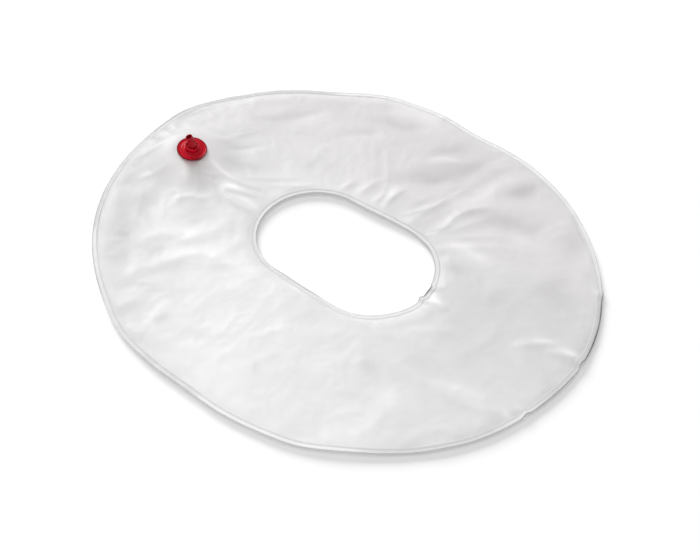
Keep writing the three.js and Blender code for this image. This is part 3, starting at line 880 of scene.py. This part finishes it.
film = vinyl_film()
upper = upper_film(film)
lower = lower_film(film)
fused = weld_vinyl()
rim_weld = weld("rim_weld_band", rim_reach, rim_height, -1,
                RIM_EDGE_SHADE, RIM_PAINTED_SHINE, RIM_BEAD_SHADE, fused)
hole_weld = weld("hole_weld_band", hole_reach, hole_height, 1,
                 HOLE_EDGE_SHADE, HOLE_PAINTED_SHINE, HOLE_BEAD_SHADE, fused)

red = moulded("red_plastic", (0.40, 0.0012, 0.010), (0.52, 0.002, 0.016), 0.22,
              toned=True, Specular_IOR_Level=0.2)
soft = moulded("soft_vinyl", (0.62, 0.62, 0.62), (0.74, 0.74, 0.74), 0.35, Alpha=0.8)
rubber = moulded("black_rubber", (0.012, 0.012, 0.013), (0.03, 0.03, 0.032), 0.6)
white = moulded("white_plastic", (0.74, 0.735, 0.71), (0.84, 0.835, 0.81), 0.35)

valve_body = turned("valve_body_moulding", [
    (5.1, -12.6), (6.2, -12.6), (6.2, 1.2), (12.6, 1.2), (13.1, 1.7), (13.1, 2.6), (12.7, 3.0),
    (12.1, 3.0), (11.7, 2.5), (9.2, 2.5), (8.8, 2.9), (6.6, 3.0), (6.0, 3.6), (6.0, 6.5),
    (5.6, 7.0), (5.0, 7.0), (4.9, 5.4), (3.75, 5.4), (3.75, 7.0), (3.15, 7.0), (3.15, 2.2),
    (5.1, 2.2),
], red, threads=[thread(5.4, 4.25, -7.3, 1.5)])
nozzle = turned("nozzle_moulding", [
    (0, -10.6), (2.7, -10.6), (2.7, -6.8), (3.9, -6.8), (3.9, -1.5), (2.9, -0.9), (2.9, 2.7),
    (2.1, 2.7), (2.1, 3.9), (2.9, 3.9), (2.9, 7.3), (3.8, 7.6), (3.75, 8.1), (3.65, 8.8),
    (3.55, 9.6), (3.45, 10.4), (3.35, 11.2), (3.2, 12.0), (3.05, 13.2), (2.95, 14.6), (3.2, 15.6),
    (3.25, 17.0), (3.1, 17.4), (2.75, 17.3), (2.55, 16.6), (2.45, 13.4), (1.8, 12.8), (1.8, 12.0),
    (1.8, 11.2), (1.8, 10.4), (1.8, 9.6), (1.8, 8.8), (1.8, 8.0), (1.8, -8.0), (0, -8.0),
], red, reshape=ribbed, threads=[thread(3.6, 4.7, -5.8, 1.25)])
backing_nut = turned("backing_nut_moulding", [
    (6.6, -4.6), (10.4, -4.6), (10.4, -1.6), (6.6, -1.6),
], red, reshape=notched)
seat_plug = turned("seat_plug_moulding", [
    (2.3, -14.6), (6.2, -14.6), (6.2, -12.9), (4.8, -12.9), (4.8, -12.0), (4.0, -12.0),
    (4.0, -12.6), (3.2, -12.6), (3.0, -12.25), (2.6, -12.25), (2.3, -12.6),
], red, radius=0.12)
upper_gasket = turned("upper_gasket_ring", [
    (6.6, 0.3), (11.8, 0.3), (11.8, 0.9), (6.6, 0.9),
], soft)
lower_gasket = turned("lower_gasket_ring", [
    (6.6, -1.3), (11.2, -1.3), (11.2, -0.7), (6.6, -0.7),
], soft)
washer = turned("seal_washer_ring", [
    (0.95, -12.1), (3.5, -12.1), (3.5, -10.75), (0.95, -10.75),
], rubber)
stud = turned("washer_stud_moulding", [
    (0, -12.9), (1.4, -12.9), (1.6, -12.2), (0.7, -12.2), (0.7, -9.3), (0, -9.3),
], white, radius=0.12)
around_cord = [k * FULL_TURN / 12 for k in range(12)]
o_ring = turned("nozzle_o_ring_band", [
    (2.6 + 0.4 * math.cos(a), 3.3 + 0.4 * math.sin(a)) for a in around_cord
], rubber, radius=0.05)

for piece, body, node, slot in (
    (upper, "cushion", "upper_film", "clear_film"),
    (lower, "cushion", "lower_film", "clear_film"),
    (rim_weld, "cushion", "outer_weld", "weld"),
    (hole_weld, "cushion", "inner_weld", "weld"),
    (valve_body, "cushion", "valve_body", "red_plastic"),
    (backing_nut, "cushion", "backing_nut", "red_plastic"),
    (seat_plug, "cushion", "seat_plug", "red_plastic"),
    (upper_gasket, "cushion", "upper_gasket", "gasket"),
    (lower_gasket, "cushion", "lower_gasket", "gasket"),
    (washer, "seal", "seal_washer", "black_rubber"),
    (stud, "seal", "washer_stud", "white_plastic"),
    (nozzle, "nozzle", "nozzle", "red_plastic"),
    (o_ring, "nozzle", "nozzle_o_ring", "black_rubber"),
):
    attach(piece, body)
    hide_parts(node)

# ---- Stage ----

paper = shader("floor_paper", (0.93, 0.93, 0.93), 0.9)[0]
floor_corners = [(-9, -9, 0), (9, -9, 0), (9, 9, 0), (-9, 9, 0)]
floor = mesh_object("floor", floor_corners, [(0, 1, 2, 3)], paper)

world = bpy.data.worlds.new("studio")
world.use_nodes = True
background = world.node_tree.nodes["Background"]
background.inputs["Color"].default_value = (1, 1, 1, 1)
background.inputs["Strength"].default_value = 0.40
bpy.context.scene.world = world
bpy.context.scene.view_settings.view_transform = "Standard"


def softbox(name, place, width, height, power):
    """A rectangular area light that looks at the cushion."""
    data = bpy.data.lights.new(name, "AREA")
    data.shape = "RECTANGLE"
    data.size, data.size_y = width, height
    data.energy = power
    made = bpy.data.objects.new(name, data)
    bpy.context.scene.collection.objects.link(made)
    made.location = place
    made.rotation_euler = (-Vector(place)).to_track_quat("-Z", "Y").to_euler()


softbox("window_light", place=(-11.0, 5.0, 7.6), width=8.4, height=9.0, power=1900)
softbox("top_light", place=(0.3, -1.6, 5.0), width=3.4, height=3.4, power=88)
